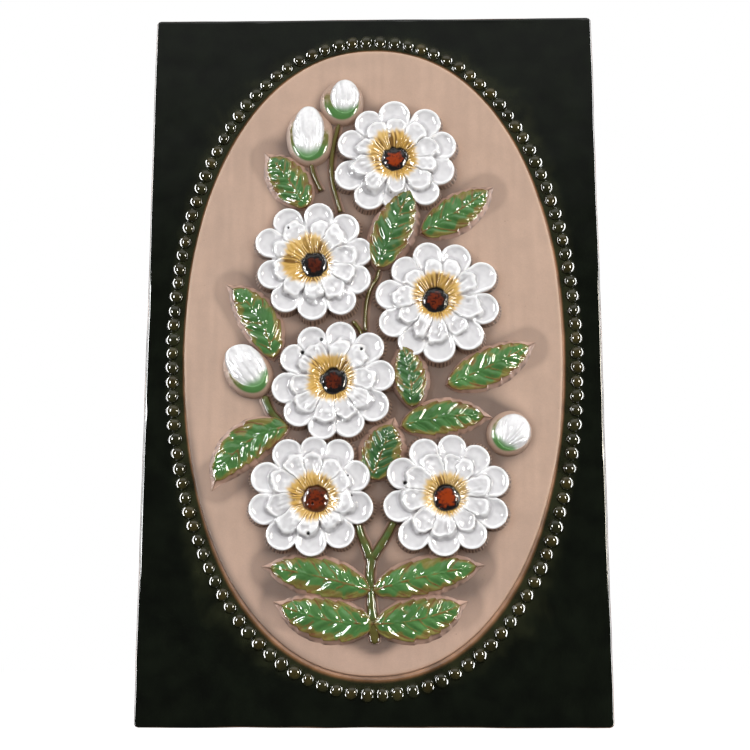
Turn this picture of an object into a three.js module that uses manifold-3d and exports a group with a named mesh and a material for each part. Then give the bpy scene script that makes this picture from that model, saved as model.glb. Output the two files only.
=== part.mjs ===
// Stoneware wall plaque with a bouquet in relief, moulded and fired as one piece.
//
// The piece is modelled lying on its back: x runs to the right and y up across the face, and z stands
// out from the flat back, whose middle is the origin. One quarter turn at the end hangs it on the wall,
// so that the face looks along -Y, +Z is up and the back lies in the plane y = 0.
import * as THREE from "three";
import { mergeVertices } from "three/addons/utils/BufferGeometryUtils.js";
import Module from "manifold-3d";

const wasm = await Module();
wasm.setup();

// ---------- driving dimensions, in millimetres ----------

const SLAB = { width: 240, height: 380, thickness: 15, corner: 2.5, bevel: 1.5 };

// The bare oval field stands a little proud of the glazed border. Both ovals are superellipses.
const OVAL_ROUNDNESS = 2.15;
const FIELD = { halfWidth: 99.2, halfHeight: 167.6, centreY: 2.5, rise: 1.2, bevel: 0.8, sides: 48 };

const BEAD_RING = { halfWidth: 106.1, halfHeight: 174.8, centreY: 0.8 };
const BEAD = { count: 118, radius: 3.6, sink: 1, sides: 6, rings: 4 };

// A blind recess in the back takes the head of a nail or a hook.
const NAIL_RECESS = { width: 26, height: 11, depth: 8, corner: 2, centreY: 150 };

// Heights are above the oval field, and every form is sunk into it by the root.
const ROOT = 1;
const FLOWER = {
  petalReach: 24.1,
  petalRadius: 8.1,
  skirt: 2,
  rimHeight: 6.6,
  notchHeight: 5.2,
  dishShare: 0.78,
  dishHeight: 5,
  crestShare: 0.52,
  crestHeight: 8.2,
  poolRadius: 6.8,
  poolHeight: 4,
};
const LEAF = { stations: 8, crownHeight: 4.6, edgeDrop: 1.6, ribDrop: 0.7, tooth: 0.07, skirt: 2 };
const BUD = { height: 7.2, cupHeight: 4.8, sides: 10, rings: 6 };
const STEM = { sides: 6, steps: 3, height: 2.4 };

// ---------- what stands where on the field: [x, y] in millimetres, angles in degrees ----------

// The angles are those of the ten outer petals, counterclockwise from the right.
const flowers = [
  { middle: [12.2, 106.8], petals: [14, 50, 92, 127, 162, 202, 236, 267, 309, 342] },
  { middle: [-31, 49], petals: [13, 49, 85, 123, 156, 197, 233, 268, 304, 336] },
  { middle: [33, 27.5], petals: [28, 65, 100, 134, 172, 208, 240, 273, 312, 350] },
  { middle: [-21, -15], petals: [6, 43, 80, 117, 149, 189, 223, 258, 291, 328] },
  { middle: [-31.5, -74], petals: [23, 56, 87, 121, 160, 197, 234, 270, 306, 344] },
  { middle: [37.6, -74.5], petals: [16, 51, 83, 118, 154, 193, 230, 266, 302, 338] },
];

// A leaf runs from its stalk to its tip and bows to the left of that way. Two lie over a flower's edge,
// and their lift is how much higher they stand than the rest.
const leaves = [
  { stalk: [-36, 80], tip: [-55.5, 108], width: 19, bow: -1, lift: 0 },
  { stalk: [2, 46], tip: [19.5, 88], width: 20, bow: 0, lift: 3 },
  { stalk: [26, 65.5], tip: [61, 88.5], width: 18, bow: -1, lift: 0 },
  { stalk: [-52.5, -2], tip: [-74, 35], width: 18, bow: -4, lift: 0 },
  { stalk: [-44, -38.5], tip: [-81, -66.5], width: 19, bow: -6, lift: 0 },
  { stalk: [20, -28.5], tip: [15.5, 3], width: 16, bow: -1.5, lift: 2 },
  { stalk: [39, -16.5], tip: [81, 3.5], width: 18, bow: -1, lift: 0 },
  { stalk: [15, -38.5], tip: [57, -33.5], width: 17, bow: 2, lift: 0 },
  { stalk: [-0.5, -66], tip: [9.5, -38], width: 20, bow: 0, lift: 1 },
  { stalk: [-1.5, -122.5], tip: [-52, -111], width: 18, bow: -1, lift: 0 },
  { stalk: [0, -122.5], tip: [52, -110.5], width: 17, bow: 1, lift: 0 },
  { stalk: [0, -139], tip: [-46, -130], width: 20, bow: 2.5, lift: 0 },
  { stalk: [0.5, -139], tip: [43.5, -130], width: 20, bow: -2.5, lift: 0 },
];

// A bud is an oval dome in a cup of sepals. Half sizes are across and along it, and the turn leans it.
const buds = [
  { dome: [-15.3, 142.5], halves: [7.8, 10], cup: [-17, 139.5], cupHalves: [12, 13], turn: 0 },
  { dome: [-35, 122.5], halves: [8.5, 15], cup: [-34.3, 120], cupHalves: [13, 17], turn: 0 },
  { dome: [-66.6, -5.8], halves: [9.3, 13.5], cup: [-65.5, -9.3], cupHalves: [12, 15.5], turn: 38 },
  { dome: [72, -41.7], halves: [9, 9.6], cup: [70.3, -42.2], cupHalves: [11.5, 12.2], turn: -45 },
];

// A stem is a half-round rod that runs from point to point and tapers from its first width to its last.
const stems = [
  { widths: [4, 8.5], path: [[0.9, -149], [0.5, -143.5], [0, -137.5]] },
  { widths: [6.5, 4.2], path: [[0, -138], [-0.5, -134], [-0.9, -129], [-1.2, -121]] },
  { widths: [4.4, 6], path: [[-1.2, -123], [-1.7, -115], [-1, -108], [-1.2, -104]] },
  { widths: [5.5, 3.6], path: [[-1.2, -107], [-3.8, -100], [-6.3, -94], [-8, -87]] },
  { widths: [5, 4], path: [[-1, -107], [3, -101], [6.5, -95.5], [10.5, -88]] },
  { widths: [2.8, 2.6], path: [[-18.5, 128], [-21.5, 114], [-22.5, 102], [-21.3, 91.5], [-17.5, 77.5]] },
  { widths: [2.8, 2.8], path: [[-33.5, 105], [-31.5, 97], [-28, 89.5]] },
  { widths: [2.4, 2.4], path: [[3.5, 48], [2, 41], [-1.5, 35], [-3.8, 25], [-4.2, 12]] },
  { widths: [2.4, 2.4], path: [[-11, 18], [-7.5, 13.5], [-5, 8]] },
  { widths: [5, 3], path: [[-57, -22], [-53.5, -30], [-49, -35], [-44, -39]] },
];

// ---------- helpers ----------

// Edges shorter than this close up when solids are joined.
const TOLERANCE = 0.01;
const FACE = SLAB.thickness;
const GROUND = FACE + FIELD.rise;

/** Turns a closed geometry into a solid that can be joined and cut. */
function solidOf(geometry) {
  geometry.deleteAttribute("normal");
  geometry.deleteAttribute("uv");
  const merged = mergeVertices(geometry, 1e-3);
  const mesh = new wasm.Mesh({
    numProp: 3,
    vertProperties: new Float32Array(merged.attributes.position.array),
    triVerts: new Uint32Array(merged.index.array),
    tolerance: TOLERANCE,
  });
  return new wasm.Manifold(mesh);
}

/** Turns a solid back into a geometry. */
function geometryOf(solid) {
  const mesh = solid.getMesh();
  const geometry = new THREE.BufferGeometry();
  geometry.setAttribute("position", new THREE.BufferAttribute(new Float32Array(mesh.vertProperties), 3));
  geometry.setIndex(new THREE.BufferAttribute(new Uint32Array(mesh.triVerts), 1));
  geometry.computeVertexNormals();
  return geometry;
}

function joined(solids) {
  return solids.reduce((whole, solid) => whole.add(solid));
}

function curveThrough(path) {
  return new THREE.SplineCurve(path.map(([x, y]) => new THREE.Vector2(x, y)));
}

/** Lays a geometry that runs from x = 0 to x = 1 along a curve, with y across it and z above the field. */
function laidAlong(geometry, curve) {
  const { position } = geometry.attributes;
  for (let i = 0; i < position.count; i += 1) {
    const share = THREE.MathUtils.clamp(position.getX(i), 0, 1);
    const point = curve.getPointAt(share);
    const tangent = curve.getTangentAt(share);
    const across = position.getY(i);
    position.setXYZ(
      i,
      point.x - across * tangent.y,
      point.y + across * tangent.x,
      GROUND + position.getZ(i),
    );
  }
  return solidOf(geometry);
}

// ---------- slab, oval field and bead ring ----------

function roundedRectangle(width, height, radius) {
  const x = width / 2;
  const y = height / 2;
  const shape = new THREE.Shape();
  shape.moveTo(-x + radius, -y);
  shape.lineTo(x - radius, -y);
  shape.absarc(x - radius, -y + radius, radius, -Math.PI / 2, 0);
  shape.absarc(x - radius, y - radius, radius, 0, Math.PI / 2);
  shape.absarc(-x + radius, y - radius, radius, Math.PI / 2, Math.PI);
  shape.absarc(-x + radius, -y + radius, radius, Math.PI, Math.PI * 1.5);
  return shape;
}

/** A point of the superellipse with the given half sizes, drawn in by the inset. */
function ovalPoint(oval, angle, inset = 0) {
  const power = 2 / OVAL_ROUNDNESS;
  const part = (value) => Math.sign(value) * Math.abs(value) ** power;
  return new THREE.Vector2(
    (oval.halfWidth - inset) * part(Math.cos(angle)),
    oval.centreY + (oval.halfHeight - inset) * part(Math.sin(angle)),
  );
}

function ovalOutline(oval, sides, inset = 0) {
  return Array.from({ length: sides }, (_, i) => ovalPoint(oval, (2 * Math.PI * i) / sides, inset));
}

function slab() {
  const { width, height, thickness, corner, bevel } = SLAB;
  const shape = roundedRectangle(width - 2 * bevel, height - 2 * bevel, corner - bevel / 2);
  const geometry = new THREE.ExtrudeGeometry(shape, {
    depth: thickness - 2 * bevel,
    curveSegments: 2,
    bevelThickness: bevel,
    bevelSize: bevel,
    bevelSegments: 1,
  });
  geometry.translate(0, 0, bevel);
  return solidOf(geometry);
}

function nailRecess() {
  const { width, height, depth, corner, centreY } = NAIL_RECESS;
  const shape = roundedRectangle(width, height, corner);
  const geometry = new THREE.ExtrudeGeometry(shape, { depth: depth + 1, curveSegments: 2, bevelEnabled: false });
  geometry.translate(0, centreY, -1);
  return solidOf(geometry);
}

function field() {
  const { rise, bevel, sides } = FIELD;
  const shape = new THREE.Shape(ovalOutline(FIELD, sides, bevel));
  const geometry = new THREE.ExtrudeGeometry(shape, {
    depth: ROOT + rise - 2 * bevel,
    bevelThickness: bevel,
    bevelSize: bevel,
    bevelSegments: 1,
  });
  geometry.translate(0, 0, FACE - ROOT + bevel);
  return solidOf(geometry);
}

/** Beads stand evenly along their ring, each a ball sunk into the border to just above its middle. */
function beadRing() {
  const ring = new THREE.Path(ovalOutline(BEAD_RING, 720));
  ring.closePath();
  const centres = ring.getSpacedPoints(BEAD.count).slice(0, BEAD.count);
  return centres.map(({ x, y }) => {
    const geometry = new THREE.SphereGeometry(BEAD.radius, BEAD.sides, BEAD.rings);
    geometry.rotateX(Math.PI / 2);
    geometry.translate(x, y, FACE - BEAD.sink);
    return solidOf(geometry);
  });
}

// ---------- flowers ----------

/** How far a ray at an angle from the flower's middle runs inside the round end of a petal. */
function petalEdge(angle, petalAngle) {
  const { petalReach, petalRadius } = FLOWER;
  const across = petalReach * Math.sin(angle - petalAngle);
  const along = petalReach * Math.cos(angle - petalAngle);
  return along + Math.sqrt(Math.max(0, petalRadius ** 2 - across ** 2));
}

/** Four samples a petal: the notch before it, its near shoulder, its crown and its far shoulder. */
function outlineSamples(petals) {
  const count = petals.length;
  return petals.flatMap((degrees, i) => {
    const before = petals[(i + count - 1) % count] - (i === 0 ? 360 : 0);
    const after = petals[(i + 1) % count] + (i === count - 1 ? 360 : 0);
    const notch = (before + degrees) / 2;
    const nearShoulder = (2 * notch + degrees) / 3;
    const farShoulder = (degrees + after) / 3 + degrees / 3;
    return [notch, nearShoulder, degrees, farShoulder].map((sample, k) => {
      const angle = THREE.MathUtils.degToRad(sample);
      return { angle, edge: petalEdge(angle, THREE.MathUtils.degToRad(degrees)), inNotch: k === 0 };
    });
  });
}

/** The profile of a flower at one sample, as [radius, height], from under its middle up and over. */
function flowerProfile({ edge, inNotch }) {
  return [
    [0, -ROOT],
    [edge + FLOWER.skirt, -ROOT],
    [edge, inNotch ? FLOWER.notchHeight : FLOWER.rimHeight],
    [edge * FLOWER.dishShare, FLOWER.dishHeight],
    [edge * FLOWER.crestShare, FLOWER.crestHeight],
    [FLOWER.poolRadius, FLOWER.poolHeight],
    [0, FLOWER.poolHeight],
  ];
}

/** A turned form whose profile changes from sample to sample round the outline. */
function flower({ middle, petals }) {
  const samples = outlineSamples(petals);
  const profiles = samples.map(flowerProfile);
  const turned = profiles[0].map(([radius, height]) => new THREE.Vector2(radius, height));
  const geometry = new THREE.LatheGeometry(turned, samples.length);
  const { position } = geometry.attributes;
  for (let i = 0; i < position.count; i += 1) {
    const column = Math.floor(i / turned.length) % samples.length;
    const [radius, height] = profiles[column][i % turned.length];
    const { angle } = samples[column];
    position.setXYZ(
      i,
      middle[0] + radius * Math.cos(angle),
      middle[1] + radius * Math.sin(angle),
      GROUND + height,
    );
  }
  return solidOf(geometry);
}

// ---------- leaves, buds and stems ----------

/** Half the width of a leaf of half width 1 at a share of its length, broadest before the middle. */
function leafWidth(share) {
  return Math.max(0.1, Math.sin(Math.PI * share ** 0.85) ** 0.8);
}

function leaf({ stalk, tip, width, bow, lift }) {
  const from = new THREE.Vector2(...stalk);
  const to = new THREE.Vector2(...tip);
  const way = to.clone().sub(from).normalize();
  const bend = from.clone().add(to).multiplyScalar(0.5);
  bend.add(new THREE.Vector2(-way.y, way.x).multiplyScalar(2 * bow));
  const geometry = new THREE.BoxGeometry(1, 2, 1, LEAF.stations, 4, 1);
  const { position } = geometry.attributes;
  for (let i = 0; i < position.count; i += 1) {
    const share = position.getX(i) + 0.5;
    const side = position.getY(i);
    const station = Math.round(share * LEAF.stations);
    const toothed = 1 + (station % 2 === 0 ? -LEAF.tooth : LEAF.tooth) * Math.abs(side);
    const reach = (width / 2) * leafWidth(share) * toothed;
    const top = position.getZ(i) > 0;
    const drop = LEAF.ribDrop + (LEAF.edgeDrop - LEAF.ribDrop) * Math.abs(side);
    const crown = LEAF.crownHeight + lift - (Math.abs(side) === 0.5 ? 0 : drop);
    const spread = top ? reach * side : (reach + LEAF.skirt + lift / 2) * side;
    position.setXYZ(i, share, spread, top ? crown : -ROOT);
  }
  return laidAlong(geometry, new THREE.QuadraticBezierCurve(from, bend, to));
}

function ovalDome([x, y], [across, along], height, turn) {
  const geometry = new THREE.SphereGeometry(1, BUD.sides, BUD.rings);
  geometry.rotateX(Math.PI / 2);
  geometry.scale(across, along, height);
  geometry.rotateZ(THREE.MathUtils.degToRad(turn));
  geometry.translate(x, y, GROUND);
  return solidOf(geometry);
}

function bud({ dome, halves, cup, cupHalves, turn }) {
  return ovalDome(dome, halves, BUD.height, turn).add(ovalDome(cup, cupHalves, BUD.cupHeight, turn));
}

function stem({ widths, path }) {
  const [first, last] = widths.map((width) => width / 2);
  const geometry = new THREE.CylinderGeometry(last, first, 1, STEM.sides, STEM.steps);
  geometry.rotateZ(-Math.PI / 2);
  geometry.scale(1, 1, STEM.height / Math.max(first, last));
  geometry.translate(0.5, 0, 0);
  return laidAlong(geometry, curveThrough(path));
}

// ---------- the plaque ----------

const plaqueSolid = joined([
  slab(),
  field(),
  ...beadRing(),
  ...flowers.map(flower),
  ...leaves.map(leaf),
  ...buds.map(bud),
  ...stems.map(stem),
]).subtract(nailRecess());

const darkGlaze = new THREE.MeshStandardMaterial({ color: 0x161c18, roughness: 0.15, metalness: 0 });
const plaque = new THREE.Mesh(geometryOf(plaqueSolid), darkGlaze);
plaque.name = "plaque";
plaque.rotation.x = Math.PI / 2;

const part = new THREE.Group();
part.add(plaque);

export default part;
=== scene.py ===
"""Looks of the stoneware flower plaque: fine relief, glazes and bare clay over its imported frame.

Everything on the face is worked out in millimetres as x to the right, z up and a height out from the
glazed border, and turned into metres of the part's own frame only when a mesh is made.
"""

import math

import bpy
import numpy as np
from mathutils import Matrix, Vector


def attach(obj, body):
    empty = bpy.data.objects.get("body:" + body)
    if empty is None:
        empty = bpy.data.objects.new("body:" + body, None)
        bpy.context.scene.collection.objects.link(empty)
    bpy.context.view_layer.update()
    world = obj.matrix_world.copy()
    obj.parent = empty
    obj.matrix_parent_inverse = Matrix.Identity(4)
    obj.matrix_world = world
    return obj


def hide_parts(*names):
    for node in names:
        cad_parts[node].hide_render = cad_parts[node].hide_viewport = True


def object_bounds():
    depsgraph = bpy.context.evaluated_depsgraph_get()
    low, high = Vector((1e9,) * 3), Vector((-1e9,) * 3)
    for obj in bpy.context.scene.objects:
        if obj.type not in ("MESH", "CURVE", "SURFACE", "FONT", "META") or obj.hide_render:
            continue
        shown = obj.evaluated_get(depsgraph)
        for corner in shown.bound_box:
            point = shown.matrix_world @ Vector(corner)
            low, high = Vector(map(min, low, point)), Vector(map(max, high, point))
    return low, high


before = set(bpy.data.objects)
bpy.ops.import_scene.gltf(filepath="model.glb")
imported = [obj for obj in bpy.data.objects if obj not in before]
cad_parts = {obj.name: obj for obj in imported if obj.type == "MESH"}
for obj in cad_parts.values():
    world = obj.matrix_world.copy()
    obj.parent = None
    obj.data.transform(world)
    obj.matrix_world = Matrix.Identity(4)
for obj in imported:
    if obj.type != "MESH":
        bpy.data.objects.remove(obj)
cad_box = [list(corner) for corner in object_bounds()]

# ---------- sizes in millimetres, heights out from the border's face ----------

MM = 0.001
SLAB = {"depth": 15, "corner": 2.2, "front_round": 1.5, "back_round": 1, "wave": 0.35, "points": 840}
SLAB["half_width"] = cad_box[1][0] / MM
SLAB["half_height"] = cad_box[1][2] / MM
BACK = -SLAB["depth"]
RECESS = {"middle": 150, "half_width": 13, "half_height": 5.5, "corner": 2, "depth": 8}

ROUNDNESS = 2.15
FIELD = {"half_width": 99.2, "half_height": 167.6, "middle": 2.5, "rise": 1.2, "round": 0.9,
         "points": 600, "rings": 74}
BEADS = {"half_width": 106.1, "half_height": 174.8, "middle": 0.8, "lean": 0.005, "count": 118,
         "radius": 3.65, "height": 2.5, "points": 26}

# The bouquet stands on the field, and its foot goes this much deeper.
GROUND = FIELD["rise"]
ROOT = 1

# Each petal is (degrees from the right, reach of its round end's middle, radius of that end). The inner
# petals follow the outer ones. The heart is where the bowl's middle lies off the flower's. The flood is
# how far the amber glaze spreads, and its middle. The core is the red's radius, fire how red it is, and
# ring how black the glaze round it is. A pit is a place on the face and a radius.
FLOWERS = [
    {"middle": (12.2, 106.8), "heart": (-0.6, -0.3), "flood": (14.6, -1.5, 1.0), "core": 4.3, "fire": 0.9,
     "petals": [(14, 24.8, 8.2), (50, 24.8, 8.2), (92, 23.2, 8.6), (127, 23.2, 8), (162, 24.1, 8.2),
                (202, 26.4, 8.2), (236, 25.1, 8.3), (267, 21.5, 7.2), (309, 25.0, 7.4), (342, 24.3, 8.2)],
     "pits": []},
    {"middle": (-31, 49), "heart": (-0.3, -1.2), "flood": (14.4, -3.4, 0.8), "core": 4.2, "fire": 0.15,
     "petals": [(13, 23.5, 7.8), (49, 23.9, 8.2), (85, 24.4, 7.9), (123, 25.7, 8), (156, 25.5, 8),
                (197, 22.9, 8), (233, 24.5, 7.9), (268, 23.8, 8), (304, 25.1, 8.1), (336, 23.6, 8.2)],
     "pits": [(-44.8, 67.3, 0.7)]},
    {"middle": (33, 27.5), "heart": (-0.2, 0.6), "flood": (13.8, 0.6, 3.0), "core": 4.3, "fire": 0.4,
     "petals": [(28, 27, 8.1), (65, 24.4, 8.3), (100, 24, 7.9), (134, 22.3, 7.9), (172, 23.8, 8.2),
                (208, 24.8, 8), (240, 24.9, 7.7), (273, 24.8, 8.6), (312, 24.8, 8.2), (350, 24.8, 8.4)],
     "pits": []},
    {"middle": (-21, -15), "heart": (0.5, 0.1), "flood": (14, -0.8, 1.4), "core": 4.4, "fire": 0.2,
     "petals": [(6, 24.4, 8.2), (43, 25.5, 8.1), (80, 23.4, 8.2), (117, 23.4, 7.9), (149, 22.7, 7.8),
                (189, 23.7, 8.2), (223, 23.6, 8), (258, 23.6, 7.8), (291, 22.9, 8.4), (328, 24.7, 8.4)],
     "pits": [(-27, 7.2, 1.0), (-36.8, 0.2, 1.2), (-6, 1.3, 0.9)]},
    {"middle": (-31.5, -74), "heart": (2.1, -2.2), "flood": (13.9, 0.9, -0.9), "core": 5.2, "fire": 0.45,
     "ring": 0.15,
     "petals": [(23, 23.7, 8.1), (56, 24.5, 8), (87, 22.4, 7.4), (121, 23.7, 8.1), (160, 24.3, 8.3),
                (197, 24.9, 8.2), (234, 25.1, 8.1), (270, 23.2, 8.3), (306, 24.1, 8), (344, 24, 8.5)],
     "pits": [(-32.7, -94.2, 1.0), (-12.9, -64.5, 0.5), (-10.9, -74.6, 0.5), (-31, -78.5, 0.6)]},
    {"middle": (37.6, -74.5), "heart": (-0.1, -1.3), "flood": (12.4, -0.9, 0.4), "core": 4.9, "fire": 1.0,
     "petals": [(16, 24.6, 8.1), (51, 23, 7.8), (83, 23.6, 7.5), (118, 23.8, 8), (154, 24.8, 8.2),
                (193, 24.8, 8.2), (230, 26, 8.1), (266, 22.5, 8.6), (302, 23.2, 7.9), (338, 24.6, 8.1)],
     "pits": [(16.4, -68.3, 1.2)]},
]
FLOWER = {"reach": 32, "notch": 22.5, "rim": 6.5, "scoop": 2.0, "inner_share": 0.69, "inner_radius": 0.7,
          "inner_rim": 8.1, "inner_scoop": 1.5, "inner_reach": 17, "bowl": 12.4, "pool": 6.4, "floor": 3.4,
          "skirt": 2.4, "comb": 1.8, "pit_depth": 1.6, "ribs": 34, "laps": 18, "pleats": 88,
          "points": 400, "rings": 92}

# A leaf is (stalk, tip of its green, width, bow to its left, lift, depth of its green from 0 to 1).
LEAVES = [
    ((-36, 80), (-55.5, 108), 19, -1, 0, 0.75),
    ((2, 46), (19.5, 88), 20, 0, 3, 0.45),
    ((26, 65.5), (61, 88.5), 18, -1, 0, 0.8),
    ((-52.5, -2), (-74, 35), 18, -4, 0, 0.75),
    ((-44, -38.5), (-81, -66.5), 19, -6, 0, 0.9),
    ((20, -28.5), (15.5, 3), 16, -1.5, 2, 0.35),
    ((39, -16.5), (81, 3.5), 18, -1, 0, 0.9),
    ((15, -38.5), (57, -33.5), 17, 2, 0, 0.8),
    ((-0.5, -66), (9.5, -38), 20, 0, 1, 0.2),
    ((-1.5, -122.5), (-52, -111), 18, -1, 0, 1.0),
    ((0, -122.5), (52, -110.5), 17, 1, 0, 1.0),
    ((0, -139), (-46, -130), 20, 2.5, 0, 1.0),
    ((0.5, -139), (43.5, -130), 20, -2.5, 0, 1.0),
]
LEAF = {"crown": 4.4, "draft": 3.4, "tooth": 0.15, "veins": 5.4, "tip": 4.8, "heel": 1.5,
        "vein_width": 0.38, "vein_rise": 0.42, "midrib_width": 0.45, "midrib_rise": 0.15,
        "rows": 88, "columns": 43, "side_columns": 6}

# A bud is its white dome, in a cup of green sepals: middles, half sizes across and along, and a turn.
BUDS = [
    {"dome": (-15.3, 142.5), "halves": (7.8, 10), "cup": (-17, 139.5), "cup_halves": (12, 13),
     "turn": 0, "sepals": (-105, 95), "ribs": 1.7, "fan": 0},
    {"dome": (-35, 122.5), "halves": (8.5, 15), "cup": (-34.3, 120), "cup_halves": (13, 17),
     "turn": 0, "sepals": (-90, 125), "ribs": 2.2, "fan": 0.2},
    {"dome": (-66.6, -5.8), "halves": (9.3, 13.5), "cup": (-65.5, -9.3), "cup_halves": (12, 15.5),
     "turn": 38, "sepals": (-85, 100), "ribs": 2.6, "fan": 0.3},
    {"dome": (72, -41.7), "halves": (9, 9.6), "cup": (70.3, -42.2), "cup_halves": (11.5, 12.2),
     "turn": -35, "sepals": (-110, 100), "ribs": 3.2, "fan": 0.8},
]
BUD = {"reach": 13, "height": 7.2, "cup_height": 4.8, "shoulder": 2.6, "points": 96, "rings": 46}

# A stem is (first width, last width, its points).
STEMS = [
    (4, 8.5, [(0.9, -149), (0.5, -143.5), (0, -137.5)]),
    (6.5, 4.2, [(0, -138), (-0.5, -134), (-0.9, -129), (-1.2, -121)]),
    (4.4, 6, [(-1.2, -123), (-1.7, -115), (-1, -108), (-1.2, -104)]),
    (5.5, 3.6, [(-1.2, -107), (-3.8, -100), (-6.3, -94), (-8, -87)]),
    (5, 4, [(-1, -107), (3, -101), (6.5, -95.5), (10.5, -88)]),
    (2.8, 2.6, [(-18.5, 128), (-21.5, 114), (-22.5, 102), (-21.3, 91.5), (-17.5, 77.5)]),
    (2.8, 2.8, [(-33.5, 105), (-31.5, 97), (-28, 89.5)]),
    (2.4, 2.4, [(3.5, 48), (2, 41), (-1.5, 35), (-3.8, 25), (-4.2, 12)]),
    (2.4, 2.4, [(-11, 18), (-7.5, 13.5), (-5, 8)]),
    (5, 3, [(-57, -22), (-53.5, -30), (-49, -35), (-44, -39)]),
]
STEM = {"height": 2.6, "draft": 1.5, "step": 1.1, "fewest_rows": 12, "columns": 19}

# ---------- colours, linear ----------

BLACK_GLAZE = (0.0032, 0.0048, 0.0022)
OLIVE_GLAZE = (0.018, 0.02, 0.008)
BEAD_GOLD = (0.045, 0.034, 0.009)
BREAK_BROWN = (0.15, 0.07, 0.028)
CLAY = (0.43, 0.28, 0.2)
# Clay darkened by stain and painted shade, used beside and under the relief.
STAINED_AND_SHADED_CLAY = (0.11, 0.06, 0.04)
PINK_CLAY = (0.46, 0.29, 0.22)
# Painted shade for the downward-facing step of the field.
UNDERSIDE_SHADE = (0.07, 0.025, 0.015)
# Colours for the painted highlight along the field's rim, lower and higher up.
LIT_RIM_LOW = (0.42, 0.22, 0.12)
LIT_RIM_HIGH = (0.66, 0.45, 0.31)
IRON_SPOT = (0.09, 0.045, 0.025)
RUST = (0.33, 0.165, 0.085)
WHITE = (0.95, 0.95, 0.955)
BODY_WHITE = (0.7, 0.69, 0.7)
# Painted shade for the hollows of white glaze.
SHADED_WHITE = (0.54, 0.53, 0.55)
THIN_WHITE = (0.66, 0.52, 0.44)
# Painted shade for the creases of the white petals.
CREASE_SHADE = (0.17, 0.145, 0.14)
AMBER = (0.6, 0.36, 0.085)
PALE_AMBER = (0.8, 0.57, 0.25)
AMBER_STREAK = (0.13, 0.055, 0.015)
HEART_BLACK = (0.01, 0.009, 0.009)
HEART_RUST = (0.09, 0.028, 0.008)
HEART_RED = (0.3, 0.038, 0.004)
HEART_DARK = (0.04, 0.009, 0.005)
LEAF_GREEN = (0.075, 0.195, 0.055)
LEAF_DEEP = (0.035, 0.1, 0.036)
LEAF_OLIVE = (0.2, 0.175, 0.045)
LEAF_BROWN = (0.17, 0.07, 0.03)

# ---------- small mathematics ----------

CELLS = 256
TABLE = np.random.default_rng(11).uniform(-1, 1, (CELLS, CELLS))


def blend(low, high, value):
    """0 below low, 1 above high, and smooth between."""
    share = np.clip((np.asarray(value, float) - low) / (high - low), 0, 1)
    return share * share * (3 - 2 * share)


def mix(first, second, share):
    """Colours or numbers mixed by a share that may be an array."""
    first, second = np.asarray(first, float), np.asarray(second, float)
    if first.ndim or second.ndim:
        share = np.asarray(share)[..., None]
    return first + (second - first) * share


def soft_max(first, second, width):
    """The larger of two heights, rounded where they are within the width of each other."""
    share = np.clip(0.5 + 0.5 * (first - second) / width, 0, 1)
    return second + (first - second) * share + width * share * (1 - share)


def soft_min(first, second, width):
    """The smaller of two heights, rounded in the same way."""
    return -soft_max(-first, -second, width)


def bump(value, width):
    """1 where the value is 0, and smoothly less on both sides."""
    return np.exp(-(value / width) ** 2)


def noise(x, z, size, seed, around=CELLS):
    """Smooth noise from -1 to 1 with bumps about size across. It repeats after `around` bumps in x.

    What is added to x and z before a call only picks another patch of it.
    """
    x = np.asarray(x, float) / size
    z = np.asarray(z, float) / size + 37.7 * seed
    i, j = np.floor(x).astype(int), np.floor(z).astype(int)
    u, v = x - i, z - j
    u, v = u * u * (3 - 2 * u), v * v * (3 - 2 * v)
    i0, i1 = i % around, (i + 1) % around
    j0, j1 = j % CELLS, (j + 1) % CELLS
    low = TABLE[i0, j0] * (1 - u) + TABLE[i1, j0] * u
    high = TABLE[i0, j1] * (1 - u) + TABLE[i1, j1] * u
    return low * (1 - v) + high * v


def rough_noise(x, z, size, seed):
    """Noise with finer noise over it."""
    return noise(x, z, size, seed) * 0.6 + noise(x + 5.3 * size, z, size / 2.3, seed + 1) * 0.4


def round_noise(turns, bumps, seed, row=0.5):
    """Noise that closes on itself round a circle, where turns are shares of a full turn."""
    return noise(turns * bumps, row, 1, seed, around=bumps)


def outline_noise(points, shift, size, seed):
    return rough_noise(points[:, 0] + shift, points[:, 1] + shift, size, seed)


def cavities(heights, reach):
    """How deep each point of a grid that closes on itself lies among its neighbours."""
    total = np.zeros_like(heights)
    padded = np.pad(heights, ((reach, reach), (0, 0)), mode="edge")
    rows = heights.shape[0]
    for down in range(-reach, reach + 1):
        for across in range(-reach, reach + 1):
            total += np.roll(padded[reach + down:reach + down + rows], across, axis=1)
    return total / (2 * reach + 1) ** 2 - heights


def oval_reach(angles, oval, offset=0):
    """Distance along each angle from an oval's middle to its edge, or to an edge further out."""
    across = np.abs(np.cos(angles) / (oval["half_width"] + offset)) ** ROUNDNESS
    upward = np.abs(np.sin(angles) / (oval["half_height"] + offset)) ** ROUNDNESS
    return (across + upward) ** (-1 / ROUNDNESS)


def rounded_rectangle(count, shape):
    """Evenly spaced points, counterclockwise from the middle of the right side."""
    half_width, half_height, corner = (shape[name] for name in ("half_width", "half_height", "corner"))
    points = [(half_width, 0)]
    for side_x, side_z, start in ((1, 1, 0), (-1, 1, 90), (-1, -1, 180), (1, -1, 270)):
        for degrees in np.linspace(start, start + 90, 9):
            turn = math.radians(degrees)
            points.append((side_x * (half_width - corner) + corner * math.cos(turn),
                           side_z * (half_height - corner) + corner * math.sin(turn)))
    points.append((half_width, 0))
    points = np.array(points)
    steps = np.concatenate([[0], np.cumsum(np.hypot(*np.diff(points, axis=0).T))])
    marks = np.linspace(0, steps[-1], count, endpoint=False)
    return np.stack([np.interp(marks, steps, points[:, k]) for k in (0, 1)], axis=1)


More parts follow.
